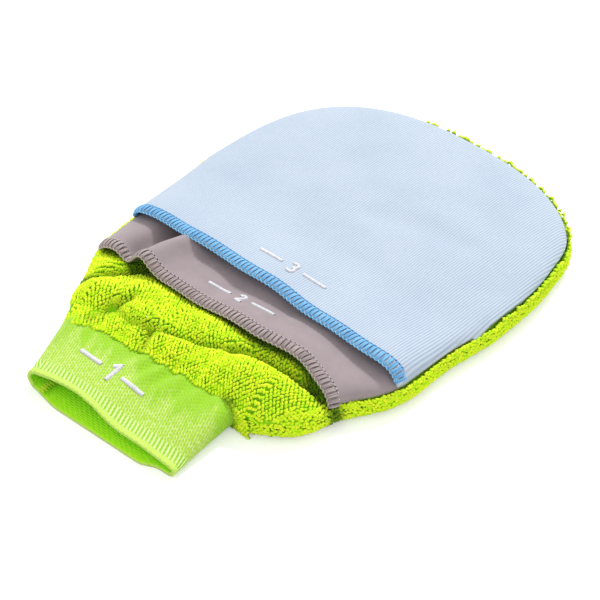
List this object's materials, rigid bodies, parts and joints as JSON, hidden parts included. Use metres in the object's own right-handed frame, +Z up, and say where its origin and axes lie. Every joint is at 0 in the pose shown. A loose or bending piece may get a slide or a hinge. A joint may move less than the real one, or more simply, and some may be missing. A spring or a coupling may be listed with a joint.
{
  "type": "wash mitt",
  "caption": "Layered microfibre wash mitt: looped hand pocket with a stretch cuff, and two smoother cloth layers that lift from its front.",
  "frame": {"origin": "middle of the bounding box at its lowest level, under the middle of the back panel", "axes": "+Y from the cuff mouth to the finger tip, +Z up through the layers, +X to the right of the hand space seen from the layers"},
  "size_m": [0.176, 0.24, 0.0236],
  "materials": {
    "terry": "looped pile, matt",
    "suede_cloth": "fine brushed knit, matt",
    "glass_cloth": "fine ribbed weave, slight sheen",
    "cuff_knit": "stretch webbing with lengthwise ribs",
    "green_thread": "twisted thread",
    "grey_thread": "textured thread",
    "blue_thread": "textured thread",
    "white_thread": "glossy satin stitch"
  },
  "bodies": {
    "pocket": {"back_panel": "terry", "front_panel": "terry", "side_seam": "green_thread", "cuff_joining_seam": "green_thread"},
    "cuff": {"cuff_webbing": "cuff_knit", "cuff_side_seam": "green_thread", "cuff_numeral": "white_thread"},
    "polishing_layer": {"polishing_panel": "suede_cloth", "polishing_hem_overlock": "grey_thread", "polishing_needle_thread": "grey_thread", "polishing_numeral": "white_thread"},
    "glass_layer": {"glass_panel": "glass_cloth", "glass_hem_overlock": "blue_thread", "glass_needle_thread": "blue_thread", "glass_numeral": "white_thread"}
  },
  "joints": [
    {"name": "cuff_fold", "type": "hinge", "parent": "pocket", "child": "cuff", "pos_m": [0, -0.08885, 0.0162], "axis": [-1, 0, 0], "range_deg": [0, 90]},
    {"name": "glass_lift", "type": "hinge", "parent": "pocket", "child": "glass_layer", "pos_m": [0, 0.1172, 0.0138], "axis": [-1, 0, 0], "range_deg": [0, 18]},
    {"name": "polishing_lift", "type": "hinge", "parent": "pocket", "child": "polishing_layer", "pos_m": [0, 0.1172, 0.012], "axis": [-1, 0, 0], "range_deg": [0, 9]}
  ],
  "couplings": [
    {"joint": "polishing_lift", "follows": "glass_lift", "ratio": 0.5}
  ]
}
